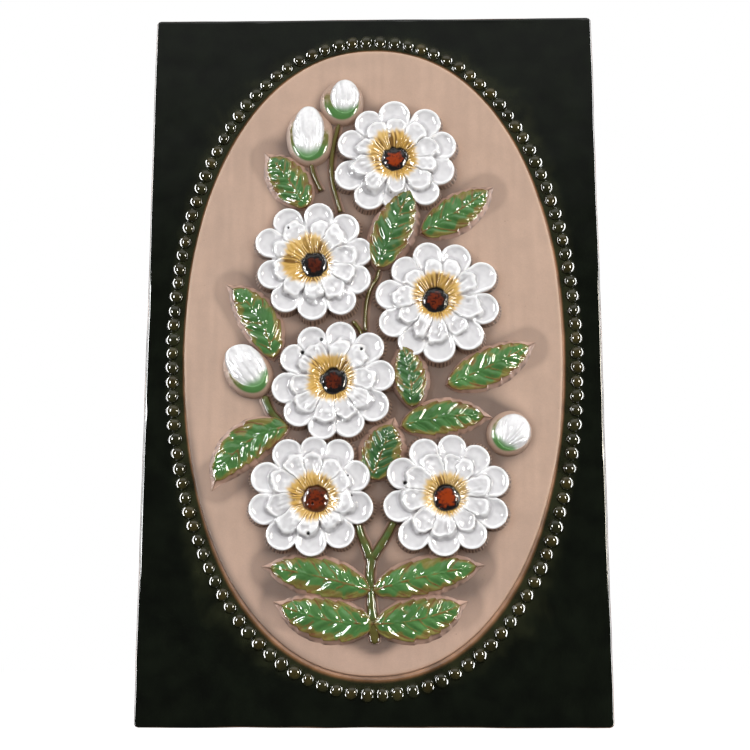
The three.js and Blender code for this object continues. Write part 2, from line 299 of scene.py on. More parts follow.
def spline(points, count):
    """A smooth curve through the points, with its unit tangents."""
    points = np.array(points, float)
    padded = np.concatenate([[2 * points[0] - points[1]], points, [2 * points[-1] - points[-2]]])
    spans = len(points) - 1
    marks = np.linspace(0, spans, count)
    span = np.minimum(marks.astype(int), spans - 1)
    t = (marks - span)[:, None]
    a, b, c, d = (padded[span + k] for k in range(4))
    square, cube = 2 * a - 5 * b + 4 * c - d, 3 * b - a - 3 * c + d
    place = 0.5 * (2 * b + (c - a) * t + square * t ** 2 + cube * t ** 3)
    way = 0.5 * ((c - a) + 2 * square * t + 3 * cube * t ** 2)
    return place, way / np.linalg.norm(way, axis=1, keepdims=True)


# ---------- meshes ----------

class Shell:
    """A closed skin of rings of points, each ring closed on itself, drawn together at both ends."""

    def __init__(self, rings, paint, bare, first=None, last=None):
        rings, paint, bare = (np.asarray(a, float) for a in (rings, paint, bare))
        rows, columns = rings.shape[:2]
        first = rings[0].mean(0) if first is None else np.array(first, float)
        last = rings[-1].mean(0) if last is None else np.array(last, float)
        self.points = np.concatenate([rings.reshape(-1, 3), [first, last]])
        self.paint = np.concatenate([paint.reshape(-1, 3), [paint[0].mean(0), paint[-1].mean(0)]])
        self.bare = np.concatenate([bare.ravel(), [bare[0].mean(), bare[-1].mean()]])
        here = np.arange(rows * columns).reshape(rows, columns)
        beside = np.roll(here, -1, axis=1)
        self.quads = np.stack([here[:-1], beside[:-1], beside[1:], here[1:]], axis=-1).reshape(-1, 4)
        start = np.stack([beside[0], here[0], np.full(columns, rows * columns)], axis=-1)
        end = np.stack([here[-1], beside[-1], np.full(columns, rows * columns + 1)], axis=-1)
        self.triangles = np.concatenate([start, end])
        if self.volume() < 0:
            self.quads = self.quads[:, ::-1]
            self.triangles = self.triangles[:, ::-1]

    def volume(self):
        corners = np.concatenate([self.triangles, self.quads[:, :3], self.quads[:, [0, 2, 3]]])
        a, b, c = (to_metres(self.points[corners[:, k]]) for k in range(3))
        return np.einsum("ij,ij->", a, np.cross(b, c))


def to_metres(points):
    """From x, z and height on the face to the part's own frame."""
    return np.stack([points[:, 0], -SLAB["depth"] - points[:, 2], points[:, 1]], axis=1) * MM


class Rings:
    """Rings of points for a shell, added one after another, with their colours and bareness."""

    def __init__(self):
        self.places, self.paint, self.bare = [], [], []

    def add(self, points, height, colour, bare):
        count = len(points)
        heights = np.broadcast_to(height, (count,))
        self.places.append(np.concatenate([points, heights[:, None]], axis=1))
        self.paint.append(np.broadcast_to(colour, (count, 3)))
        self.bare.append(np.broadcast_to(bare, (count,)))


def piece(name, shells, material):
    """One object from closed skins, riding on the plaque and standing for its CAD node."""
    points, faces, paint, bare, count = [], [], [], [], 0
    for shell in shells:
        points.append(to_metres(shell.points))
        paint.append(shell.paint)
        bare.append(shell.bare)
        faces += (shell.triangles + count).tolist() + (shell.quads + count).tolist()
        count += len(shell.points)
    mesh = bpy.data.meshes.new(name)
    mesh.from_pydata(np.concatenate(points).tolist(), [], faces)
    colours = np.concatenate([np.concatenate(paint), np.ones((count, 1))], axis=1)
    layer = mesh.attributes.new("paint", "FLOAT_COLOR", "POINT")
    layer.data.foreach_set("color", np.clip(colours, 0, 1).astype(np.float32).ravel())
    layer = mesh.attributes.new("bare", "FLOAT", "POINT")
    layer.data.foreach_set("value", np.clip(np.concatenate(bare), 0, 1).astype(np.float32))
    mesh.shade_smooth()
    mesh.materials.append(material)
    made = bpy.data.objects.new(name, mesh)
    bpy.context.scene.collection.objects.link(made)
    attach(made, "root")
    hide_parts("plaque")


# ---------- where things are, for stains and painted shade on the clay ---

def distance_to_path(x, z, points):
    """Distance from each place to a line of points."""
    nearest = np.full(x.shape, 1e9)
    for (x0, z0), (x1, z1) in zip(points[:-1], points[1:]):
        way = np.array([x1 - x0, z1 - z0], float)
        share = np.clip(((x - x0) * way[0] + (z - z0) * way[1]) / (way @ way), 0, 1)
        nearest = np.minimum(nearest, np.hypot(x - x0 - share * way[0], z - z0 - share * way[1]))
    return nearest


def crowding(x, z, reach):
    """How closely flowers, leaves, buds and stems stand round each place on the field: 1 beside one."""
    away = [np.hypot(x - flower["middle"][0], z - flower["middle"][1]) - FLOWER["reach"]
            for flower in FLOWERS]
    away += [distance_to_path(x, z, [leaf[0], leaf[1]]) - leaf[2] / 2 - 1 for leaf in LEAVES]
    away += [np.hypot(x - bud["cup"][0], z - bud["cup"][1]) - BUD["reach"] for bud in BUDS]
    away += [distance_to_path(x, z, points) * 1.3 for _first, _last, points in STEMS]
    return sum(np.exp(-np.maximum(distance, 0) / reach) for distance in away)


# ---------- slab, field and beads ----------

def underside(angles):
    """1 round the lowest part of the oval and 0 elsewhere."""
    return blend(0.6, 0.95, -np.sin(angles))


def shore(angles):
    """How far the border's glaze keeps off the field's foot, in millimetres, round the oval."""
    wander = round_noise(angles / math.tau, 14, 3)
    ripple = round_noise(angles / math.tau, 90, 4)
    side = 0.5 + 0.5 * np.cos(angles + math.radians(40))
    return 0.2 + 0.4 * side + 0.7 * underside(angles) + 0.3 * wander + 0.12 * ripple


def slab_back(rings, outline, inward):
    """From the recess's floor to its mouth, then over the back and round its edge."""
    centre = np.array([0, RECESS["middle"]])
    recess = rounded_rectangle(len(outline), RECESS)
    recess[:, 1] += RECESS["middle"]
    colour = np.array(CLAY) * 0.92
    bottom = BACK + RECESS["depth"]
    # The recess is painted a tenth darker than the back round it, as shade inside it.
    for inset, height in ((1.2, bottom), (0.3, bottom - 0.3), (0, bottom - 1.2),
                          (0, BACK + 4), (0, BACK + 0.4), (-0.4, BACK)):
        spread = (recess - centre) * (1 - inset / RECESS["half_height"]) + centre
        rings.add(spread, height, colour * 0.9, 1)
    start = (recess - centre) * 1.08 + centre
    edge = outline + inward * SLAB["back_round"]
    for share in np.linspace(0.08, 1, 9) ** 1.4:
        rings.add(start + (edge - start) * share, BACK, colour, 1)
    for turn in np.linspace(20, 90, 4):
        lift = SLAB["back_round"] * (1 - math.cos(math.radians(turn)))
        out = SLAB["back_round"] * (1 - math.sin(math.radians(turn)))
        rings.add(outline + inward * out, BACK + lift, colour, 1)


def slab_sides(rings, outline, inward):
    """The sides are bare but for a few runs: the glaze stops on the rounded edge."""
    body = -inward * (SLAB["wave"] * outline_noise(outline, 300, 34, 5))[:, None]
    drips = blend(0.45, 0.75, outline_noise(outline, 200, 13, 8))
    low, high = np.linspace(BACK + 2.2, -5.5, 4), np.linspace(-4.8, -SLAB["front_round"], 5)
    for height in np.concatenate([low, high]):
        cover = drips * blend(-5.5, -3.5, height + 1.5 * drips)
        colour = mix(mix(PINK_CLAY, CLAY, 0.5), BREAK_BROWN, cover)
        rings.add(outline + inward * 0.12 + body * blend(BACK, -6, height), height, colour, 1 - cover)
    stop = 34 + 16 * outline_noise(outline, 90, 20, 12)
    for turn in range(10, 91, 10):
        out = SLAB["front_round"] * (1 - math.cos(math.radians(turn)))
        height = -SLAB["front_round"] * (1 - math.sin(math.radians(turn)))
        cover = np.maximum(blend(-7, 7, turn - stop), 0.8 * drips)
        colour = mix(PINK_CLAY, mix(BREAK_BROWN, BLACK_GLAZE, blend(0, 22, turn - stop)), cover)
        rings.add(outline + inward * out + body, height, colour, 1 - cover)


def slab_face(rings, angles):
    """From the rounded edge over the face to a band that follows the oval, and in under the field."""
    edge = rings.places[-1][:, :2]
    bank = shore(angles)
    direction = np.stack([np.cos(angles), np.sin(angles)], axis=1)

    def oval(offset):
        reach = oval_reach(angles, FIELD, offset)
        return np.array([0, FIELD["middle"]]) + direction * reach[:, None]

    def glazed(points, offset):
        wide = 0.13 * outline_noise(points, 500, 26, 14)
        beyond = offset - bank
        fade = 1.1 + 1.2 * underside(angles)
        colour = mix(BREAK_BROWN, OLIVE_GLAZE, blend(0.1, fade, beyond))
        colour = mix(colour, BLACK_GLAZE, blend(4, 12.5, beyond + 2.5 * outline_noise(points, 500, 5, 15)))
        colour = mix(colour, RUST, 1 - blend(-0.35 * fade, 0.6 * fade, beyond))
        lip = -0.25 * (1 - blend(-0.5, 1.5, beyond))
        rings.add(points, wide * blend(1, 6, beyond) + lip, colour, 1 - blend(-0.35, 0.35, beyond))

    band = 8.0
    for share in np.linspace(0, 1, 24)[1:] ** 1.15:
        glazed(edge + (oval(band) - edge) * share, band + 20 * (1 - share))
    for offset in np.linspace(band, -0.5, 19)[1:]:
        glazed(oval(offset), offset)
    rings.add(oval(-6), -0.3, CLAY, 1)


def slab_piece(material):
    outline = rounded_rectangle(SLAB["points"], SLAB)
    angles = np.arctan2(outline[:, 1] - FIELD["middle"], outline[:, 0])
    inward = -np.stack([outline[:, 0] / SLAB["half_width"], outline[:, 1] / SLAB["half_height"]], axis=1)
    inward = np.sign(inward) * np.abs(inward) ** 12
    inward /= np.maximum(np.linalg.norm(inward, axis=1, keepdims=True), 1e-6)
    rings = Rings()
    slab_back(rings, outline, inward)
    slab_sides(rings, outline, inward)
    slab_face(rings, angles)
    shell = Shell(rings.places, rings.paint, rings.bare,
                  first=(0, RECESS["middle"], BACK + RECESS["depth"]), last=(0, FIELD["middle"], -0.3))
    piece("slab", [shell], material)


def field_colour(x, z, angles, inside):
    """Bare clay: darker beside the relief with stain and painted shade, painted shade inside the rim low on
    the left, a painted highlight round the rim, and painted shade on the field's step along the bottom.
    """
    # Stain and painted shade: the clay is darkened where the relief crowds round, deepest between flowers.
    near = blend(0.55, 1.75, crowding(x, z, 5.5))
    drift = 0.5 + 0.5 * rough_noise(x + 400, z * 0.7 + 400, 18, 24)
    colour = mix(CLAY, STAINED_AND_SHADED_CLAY, np.clip(near * (0.75 + 0.35 * drift), 0, 0.95))
    streak = 1 + 0.05 * noise(x + 400, z * 0.08 + 400, 2.2, 25) + 0.05 * drift
    colour = colour * streak[..., None]
    colour = mix(colour, PINK_CLAY, 0.35 * blend(-60, -160, z) * (1 - near))
    # Painted shade, dark brown, a few millimetres inside the rim low on the left, as if the field's edge fell
    # away there.
    low_left = blend(0.75, 0.98, np.cos(angles - math.radians(228)))
    edge_shade = low_left * bump(np.maximum(inside, 0), 2.8) * (0.6 + 0.4 * drift)
    colour = mix(colour, np.array(STAINED_AND_SHADED_CLAY) * 0.7, np.clip(edge_shade, 0, 1))
    # Painted highlight along the field's rounded rim, paler higher up and weaker low on the left, as if lit
    # from above.
    rim_highlight = (bump(inside, 0.9) * (1 - 0.8 * low_left))[..., None]
    rim = mix(LIT_RIM_LOW, LIT_RIM_HIGH, blend(-150, -60, z))
    colour = colour * (1 - 0.75 * rim_highlight) + rim * 0.75 * rim_highlight
    # Painted shade on the field's step along the bottom of the oval, which faces down.
    return mix(colour, UNDERSIDE_SHADE, blend(0.3, 1, -inside * 8) * underside(angles))


def field_piece(material):
    angles = np.linspace(0, math.tau, FIELD["points"], endpoint=False)
    edge = oval_reach(angles, FIELD)
    edge = edge + 0.35 * round_noise(angles / math.tau, 26, 21)
    shares = 1 - (1 - np.linspace(0.01, 1, FIELD["rings"])) ** 1.15
    rise, bend = FIELD["rise"], FIELD["round"]
    reach = shares[:, None] * (edge - bend)[None, :]
    heights = np.full(reach.shape, float(rise))
    for turn in (18, 36, 54, 72, 90):
        drop = bend * (1 - math.sin(math.radians(90 - turn)))
        reach = np.vstack([reach, edge - bend + bend * math.sin(math.radians(turn))])
        heights = np.vstack([heights, np.full(edge.shape, rise - drop)])
    for down in (0.5, 1.0, 1.6):
        reach = np.vstack([reach, edge + 0.1 + 0.1 * down])
        heights = np.vstack([heights, np.full(edge.shape, rise - bend - down)])
    x = reach * np.cos(angles)
    z = reach * np.sin(angles) + FIELD["middle"]
    inside = edge - reach
    swell = 0.1 * rough_noise(x + 400, z * 0.4 + 400, 14, 22) + 0.05 * noise(x + 400, z * 0.15 + 400, 4, 23)
    heights += swell * blend(0.5, 6, inside)
    rings = np.stack([x, z, heights], axis=-1)
    shell = Shell(rings, field_colour(x, z, angles, inside), np.ones(x.shape),
                  first=(0, FIELD["middle"], rise))
    piece("oval_field", [shell], material)


def bead_places():
    """Evenly spaced places round the bead oval that drift and jitter as hand-set beads do."""
    fine = np.linspace(0, math.tau, 7201)
    reach = oval_reach(fine, BEADS)
    reach = reach + 0.75 * round_noise(fine / math.tau, 9, 31)
    x, z = reach * np.cos(fine), reach * np.sin(fine) + BEADS["middle"]
    x = x - BEADS["lean"] * z
    steps = np.concatenate([[0], np.cumsum(np.hypot(np.diff(x), np.diff(z)))])
    dice = np.random.default_rng(32)
    marks = (np.arange(BEADS["count"]) + dice.uniform(-0.035, 0.035, BEADS["count"])) / BEADS["count"]
    marks = (marks * steps[-1]) % steps[-1]
    return np.stack([np.interp(marks, steps, x), np.interp(marks, steps, z)], axis=1)


def bead_piece(material):
    columns = BEADS["points"]
    dice = np.random.default_rng(33)
    turns = np.linspace(0, math.tau, columns, endpoint=False)
    shells = []
    for x, z in bead_places():
        radius = BEADS["radius"] * (1 + dice.uniform(-0.06, 0.06))
        height = BEADS["height"] * (1 + dice.uniform(-0.08, 0.06))
        oblong = 1 + 0.05 * np.cos(2 * turns + dice.uniform(0, 6)) + dice.uniform(-0.02, 0.02, columns) * 0.3
        lean = dice.uniform(-0.15, 0.15, 2)
        gold = dice.uniform(0.1, 1)
        profile = [(radius * math.sin(turn), height * math.cos(turn))
                   for turn in map(math.radians, (8, 17, 26, 35, 44, 53, 62, 71, 79, 86))]
        profile += [(radius * 1.03, 0.06), (radius * 1.1, -0.8)]
        rings = Rings()
        for out, up in profile:
            points = np.stack([x + lean[0] * up + out * oblong * np.cos(turns),
                               z + lean[1] * up + out * oblong * np.sin(turns)], axis=-1)
            rings.add(points, up, mix(OLIVE_GLAZE, BEAD_GOLD, blend(0.35, 1, up / height) * gold), 0)
        shells.append(Shell(rings.places, rings.paint, rings.bare,
                            first=(x + lean[0] * height, z + lean[1] * height, height)))
    piece("bead_ring", shells, material)


# ---------- flowers ----------

def ring_of_petals(x, z, petals, drop, lip, crease):
    """Heights of petals that meet in creases, and how far inside the nearest petal each place lies.

    A petal is its turn, reach, radius, rim height, sideways tilt and scoop.
    """
    best = np.full(x.shape, 1e9)
    second = np.full(x.shape, 1e9)
    heights = np.zeros(x.shape)
    inside = np.zeros(x.shape)
    for turn, reach, radius, rim, tilt, scoop in petals:
        along = x * math.cos(turn) + z * math.sin(turn)
        across = z * math.cos(turn) - x * math.sin(turn)
        waist = radius * (0.6 + 0.4 * np.clip(along / reach, 0, 1))
        measure = np.hypot(np.maximum(along - reach, 0) / radius, across / waist)
        measure = np.where(along < 0, 1e6, measure)
        within = (1 - measure) * radius
        edge = np.clip(within / lip, 0, 1)
        height = rim + tilt * across - scoop * (1 - np.clip(measure, 0, 1) ** 3)
        height = height - lip * (1 - np.sqrt(1 - (1 - edge) ** 2)) + drop * np.minimum(within, 0)
        nearer = measure < best
        second = np.where(nearer, best, np.minimum(second, measure))
        heights = np.where(nearer, height, heights)
        inside = np.where(nearer, within, inside)
        best = np.where(nearer, measure, best)
    between = (second - best) * 4
    return heights - crease * bump(between, 0.55), inside, between


def flower_outline(number, flower, angles):
    """Distance from the flower's middle to its petals' ends along each angle."""
    edge = np.full(angles.shape, FLOWER["notch"]) + 0.5 * noise(angles * 6, 0.5, 1, number)
    for degrees, reach, radius in flower["petals"]:
        turn = angles - math.radians(degrees)
        across, along = reach * np.sin(turn), reach * np.cos(turn)
        end = along + np.sqrt(np.maximum(radius ** 2 - across ** 2, 0))
        edge = np.maximum(edge, np.where((np.abs(across) < radius) & (along > 0), end, 0))
    return edge + 0.16 * round_noise(angles / math.tau, 70, 41, number)


def petals_of(flower, dice):
    """The outer petals, and the inner ones that follow them, each with chances of its own."""
    outer, inner = [], []
    for degrees, out, radius in flower["petals"]:
        turn = math.radians(degrees)
        outer.append((turn, out, radius, FLOWER["rim"] + dice.uniform(-0.4, 0.4), dice.uniform(-0.06, 0.06),
                      FLOWER["scoop"] * dice.uniform(0.75, 1.3)))
        inner.append((turn + math.radians(dice.uniform(-7, 7)),
                      out * FLOWER["inner_share"] * dice.uniform(0.94, 1.05),
                      radius * FLOWER["inner_radius"] * dice.uniform(0.9, 1.12),
                      FLOWER["inner_rim"] + dice.uniform(-0.5, 0.5), dice.uniform(-0.12, 0.12),
                      FLOWER["inner_scoop"] * dice.uniform(-0.7, 1.4)))
    return outer, inner


def petal_relief(number, flower, x, z, face, inward):
    """Heights of the petals, and the folds in them that the colours follow."""
    outer, inner = petals_of(flower, np.random.default_rng(100 + number))
    heights, inside, _between = ring_of_petals(x, z, outer, 2.5, 1.0, 0.9)
    lip = bump(inside - 1.0, 0.7)
    lip = lip * (0.7 + 0.6 * noise(*face, 4, 38))
    heights = heights + 0.35 * lip + 0.12 * lip * noise(*face, 1.2, 37)
    bend_x = x + 1.0 * noise(*face, 3.5, 39)
    bend_z = z + 1.0 * noise(*face, 3.5, 40)
    inner_heights, inner_inside, between = ring_of_petals(bend_x, bend_z, inner, 1.7, 1.0, 0.7)
    reach = np.hypot(x, z)
    ruffled = bump(reach - FLOWER["inner_reach"], 5)
    dents = 0.28 * rough_noise(*face, 5, 42) + (0.06 + 0.3 * ruffled) * noise(*face, 2.3, 43)
    heights = soft_max(heights, inner_heights, 0.5) + dents * blend(0, 1.5, inward)
    turns = np.arctan2(z, x) / math.tau % 1
    pleats = round_noise(turns, FLOWER["pleats"], 90 + number, reach / 9)
    pleated = bump(reach - FLOWER["inner_reach"], 3.5) * blend(-0.1, 0.5, round_noise(turns, 9, 97 + number))
    folds = {"lip": lip, "inside": inner_inside, "between": between, "pleats": pleats, "pleated": pleated}
    return heights + 0.3 * pleats * pleated, folds


def flower_bowl(number, flower, x, z):
    """The wall of the bowl in the middle, ribbed like stamens, and what the colours in it follow."""
    heart_x, heart_z = x - flower["heart"][0], z - flower["heart"][1]
    out = np.hypot(heart_x, heart_z)
    turns = np.arctan2(heart_z, heart_x) % math.tau / math.tau
    lap = round_noise(turns, FLOWER["laps"], 44 + number)
    brim = FLOWER["bowl"] + 1.2 * lap
    wall = FLOWER["floor"] + 4.8 * np.clip((out - FLOWER["pool"]) / (brim - FLOWER["pool"]), 0, 9) ** 0.75
    phase = turns * FLOWER["ribs"] + 0.6 * round_noise(turns, FLOWER["ribs"], 50 + number, out / 7)
    ribs = np.cos(math.tau * phase)
    in_bowl = blend(FLOWER["pool"], FLOWER["pool"] + 1.5, out) * (1 - blend(0, 2.4, out - brim))
    wall = wall + 0.2 * ribs * in_bowl + 0.25 * lap * in_bowl
    return wall, {"out": out, "turns": turns, "lap": lap, "ribs": ribs}


def glass_button(bowl, face):
    """The glassy button of glaze at the bottom of the bowl."""
    lumps = 0.5 * noise(*face, 1.5, 47) * blend(0.5, 0.85, bowl["out"] / FLOWER["pool"])
    share = np.clip(bowl["out"] / (FLOWER["pool"] + 0.3 * bowl["lap"]), 0, 1)
    button = FLOWER["floor"] - 0.3 + 1.1 * (1 - share ** 3.4) ** 0.6 + 0.35 * lumps
    return np.where(share < 1, button, -5)


def petal_colour(z, reach, heights, face, wear, folds):
    """White glaze: painted highlights on what stands up and along the petal lips, painted shade in the
    hollows, and painted shade in the creases, under the inner petals, in the pleats and seams, darker on the
    lower side.
    """
    hollow, swell = cavities(heights, 2), cavities(heights, 5)
    # Painted shade in the hollows of the petals.
    colour = mix(BODY_WHITE, SHADED_WHITE, blend(0, 0.3, swell) * (0.4 + 0.6 * wear))
    # Painted highlights on what stands out and along the petal lips.
    colour = mix(colour, WHITE, blend(0, 0.2, -swell) * (0.6 + 0.4 * wear))
    colour = mix(colour, WHITE, 0.8 * folds["lip"])
    colour = mix(colour, THIN_WHITE, 0.3 * blend(0.05, 0.2, -hollow) * blend(0.35, 0.9, wear))
    # Painted shade in the deep creases, broken into flecks.
    flecks = blend(-0.3, 0.5, noise(*face, 0.9, 49))
    creased = 0.7 * blend(0.07, 0.35, hollow) * (0.15 + 0.85 * wear) * (0.4 + 0.6 * flecks)
    colour = mix(colour, CREASE_SHADE, creased)
    # More painted shade under the inner petals' edges, heavier on the flower's lower side, in the pleat
    # grooves and along the seams round the bowl.
    lower = blend(-0.3, 0.9, -z / np.maximum(reach, 1))
    under = bump(folds["inside"] + 0.6, 0.5) * blend(0.35, 0.8, wear)
    seam = bump(folds["between"], 0.22) * blend(10.5, 12.5, reach) * (1 - blend(15, 18, reach))
    crease_shade = 0.4 * under + 0.6 * under * lower * flecks
    crease_shade = crease_shade + 0.35 * blend(0, 0.8, -folds["pleats"]) * folds["pleated"] + 0.7 * seam * wear
    return mix(colour, CREASE_SHADE, np.clip(crease_shade, 0, 0.9))


def middle_colour(number, flower, colour, x, z, face, wear, bowl):
    """The petals' colour with amber glaze flooded in streaks round the bowl and the heart in it."""
    out, turns, lap, ribs = (bowl[name] for name in ("out", "turns", "lap", "ribs"))
    spread = np.hypot(x - flower["flood"][1], z - flower["flood"][2])
    flood = 1 - blend(-4.4, 1.2, spread - flower["flood"][0] - 0.5 * ribs + 1.3 * lap)
    strong = blend(-0.4, 0.7, round_noise(turns, 21, 60 + number, out / 9))
    streaks = blend(0.1, 1.1, -ribs + 0.9 * strong - 0.4) * (0.15 + 0.85 * strong)
    gold = blend(-0.6, 0.9, round_noise(turns, 6, 66 + number) + 0.5 * ribs)
    amber = mix(AMBER, PALE_AMBER, np.clip(0.55 * gold + 0.8 * (1 - flood), 0, 1))
    amber = mix(amber, AMBER_STREAK, np.clip(streaks * blend(0.25, 0.9, flood), 0, 0.8))
    colour = mix(colour, amber, blend(0, 0.8, flood))
    ragged = 0.9 * noise(*face, 1.3, 46)
    core = 1 - blend(-1.0, 0.8, out - flower["core"] + 0.3 + 1.4 * ragged)
    glow = flower["fire"] + 0.35 * (wear - 0.5) - 0.5 * blend(0, 0.7, noise(*face, 0.8, 51))
    red = mix(HEART_DARK, HEART_RED, np.clip(glow, 0, 1))
    heart = mix(mix(HEART_RUST, HEART_BLACK, flower.get("ring", 1)), red, core)
    return mix(colour, heart, 1 - blend(-0.3, 0.5, out - FLOWER["pool"] - 0.5 - 0.6 * lap))


def flower_side(angles, edge, x, z, lowest):
    """The drafted side below the rim: glaze runs a little way down it, then bare clay with comb marks, with
    painted shade in the comb marks and near the notches between petals.
    """
    arc = np.concatenate([[0], np.cumsum(np.hypot(np.diff(x), np.diff(z)))])
    comb = 0.5 + 0.5 * np.sin(arc * math.tau / FLOWER["comb"] + 3.5 * noise(angles * 8, 0.5, 1, 47))
    run = 0.16 + 0.07 * noise(angles * 5, 0.5, 1, 48)
    notch = 1 - blend(24.5, 29, edge)
    reach, heights, paint, bare = [], [], [], []
    for share in np.linspace(0, 1, 11)[1:]:
        furrow = comb ** 2 * 0.5 * blend(0.2, 0.45, share) * (1 - blend(0.9, 1, share))
        reach.append(edge + FLOWER["skirt"] * share ** 1.5 - furrow)
        heights.append(lowest * (1 - share) - ROOT * share)
        covered = 1 - blend(-0.06, 0.06, share - run)
        # Painted shade in the comb marks, and darker clay near the notches between petals as shade.
        shade = np.clip(0.95 * comb ** 3 * blend(0.15, 0.4, share) + 0.6 * notch, 0, 1)
        dark = mix(mix(CLAY, STAINED_AND_SHADED_CLAY, 0.35 + 0.65 * notch), np.array(STAINED_AND_SHADED_CLAY) * 0.3, shade)
        paint.append(mix(dark, THIN_WHITE, covered))
        bare.append(1 - covered)
    return reach, heights, paint, bare


def flower_piece(number, flower, material):
    angles = np.linspace(0, math.tau, FLOWER["points"], endpoint=False)
    edge = flower_outline(number, flower, angles)
    shares = 1 - (1 - np.linspace(0.011, 1, FLOWER["rings"])) ** 1.15
    reach = shares[:, None] * edge[None, :]
    x, z = reach * np.cos(angles), reach * np.sin(angles)
    shift = 300
    face = x + flower["middle"][0] + shift, z + flower["middle"][1] + shift

    heights, folds = petal_relief(number, flower, x, z, face, edge - reach)
    wall, bowl = flower_bowl(number, flower, x, z)
    heights = soft_min(heights, wall, 0.7)
    heights = soft_max(heights, glass_button(bowl, face), 0.25)
    pits = np.zeros(x.shape)
    for pit_x, pit_z, radius in flower["pits"]:
        away = np.hypot(face[0] - shift - pit_x, face[1] - shift - pit_z)
        pits = np.maximum(pits, 1 - blend(radius * 0.6, radius * 1.1, away))
    heights = heights - FLOWER["pit_depth"] * pits

    wear = 0.5 + 0.5 * rough_noise(*face, 3, 45)
    colour = petal_colour(z, reach, heights, face, wear, folds)
    colour = middle_colour(number, flower, colour, x, z, face, wear, bowl)
    # The pits are painted near black, as shade down in them.
    colour = mix(colour, HEART_BLACK, pits)

    side_reach, side_heights, side_paint, side_bare = flower_side(angles, edge, x[-1], z[-1], heights[-1])
    reach = np.vstack([reach, side_reach])
    heights = np.vstack([heights, side_heights]) + GROUND
    colour = np.concatenate([colour, side_paint])
    bare = np.vstack([np.zeros(x.shape), side_bare])
    rings = np.stack([reach * np.cos(angles) + flower["middle"][0],
                      reach * np.sin(angles) + flower["middle"][1], heights], axis=-1)
    last = (*flower["middle"], GROUND - ROOT)
    piece(f"flower_{number}", [Shell(rings, colour, bare, last=last)], material)


# ---------- leaves ----------

def vein_phase(place, reach, sign, pitch):
    """How many side veins lie below a spot. They leave the midrib in turn and curve to the tip."""
    return (place - 0.62 * reach - 0.05 * reach ** 2 + np.where(sign > 0, 0.45 * pitch, 0)) / pitch


def leaf_colour(green, a, s, length, ridge, wander, face):
    """Green glaze, olive and brown where it is thin, on bare clay past both ends, and how bare it is."""
    mottle = 0.5 + 0.5 * rough_noise(*face, 3, 74)
    margin = blend(0.42, 0.95, np.abs(s) + 0.3 * wander)
    veined = ridge * blend(-0.5, 0.4, noise(*face, 4, 76))
    thick = np.clip(1.1 - 0.95 * veined - 0.72 * margin - 0.45 * (1 - mottle), 0, 1)
    thick = thick * blend(-0.02, 0.1, a / length) * (1 - 0.8 * blend(0.88, 1.02, a / length))
    full = mix(LEAF_DEEP, LEAF_GREEN, np.clip(green + 0.3 * (mottle - 0.5), 0, 1))
    deep = mix(LEAF_OLIVE, full, blend(0.2, 0.7, thick))
    colour = mix(LEAF_BROWN, deep, blend(-0.05, 0.25, thick + 0.1 * wander))
    outside = np.clip(blend(0, 1.2, -a) + blend(0.2, 1.4, a - length), 0, 1)
    return mix(colour, np.array(CLAY) * 0.85, outside), outside


def leaf_side(sign, half, rim_height, foot, whole, along, outside):
    """The drafted side below the rim, left or right, with its colour and bareness: paler near the rim as
    painted highlight, darker toward the foot with stain and painted shade.
    """
    steps = np.linspace(0, 1, LEAF["side_columns"] + 1)[1:]
    if sign < 0:
        steps = steps[::-1]
    spread = np.maximum(foot[:, None], half + 1.2 * np.sin(math.pi * whole)[:, None] ** 0.3)
    flare = half + (spread - half) * steps ** 1.2
    fall = rim_height[:, None] * (1 - steps) ** 1.15 - ROOT * steps
    run = blend(0.05, 0.22, steps + 0.1 * noise(along[:, None] + 50, 3.0 * sign, 3, 72))
    run = np.maximum(run, outside[:, :1])
    # Painted pink near the rim as a highlight, and darker toward the foot as stain and painted shade.
    foot_stain_and_shade = blend(0.35, 1.1, steps + 0.3 * noise(along[:, None] + 50, 1.0 * sign, 2, 75))
    colour = mix(LEAF_BROWN, mix(PINK_CLAY, STAINED_AND_SHADED_CLAY, foot_stain_and_shade), run)
    return np.stack([sign * flare, fall], axis=-1), colour, run


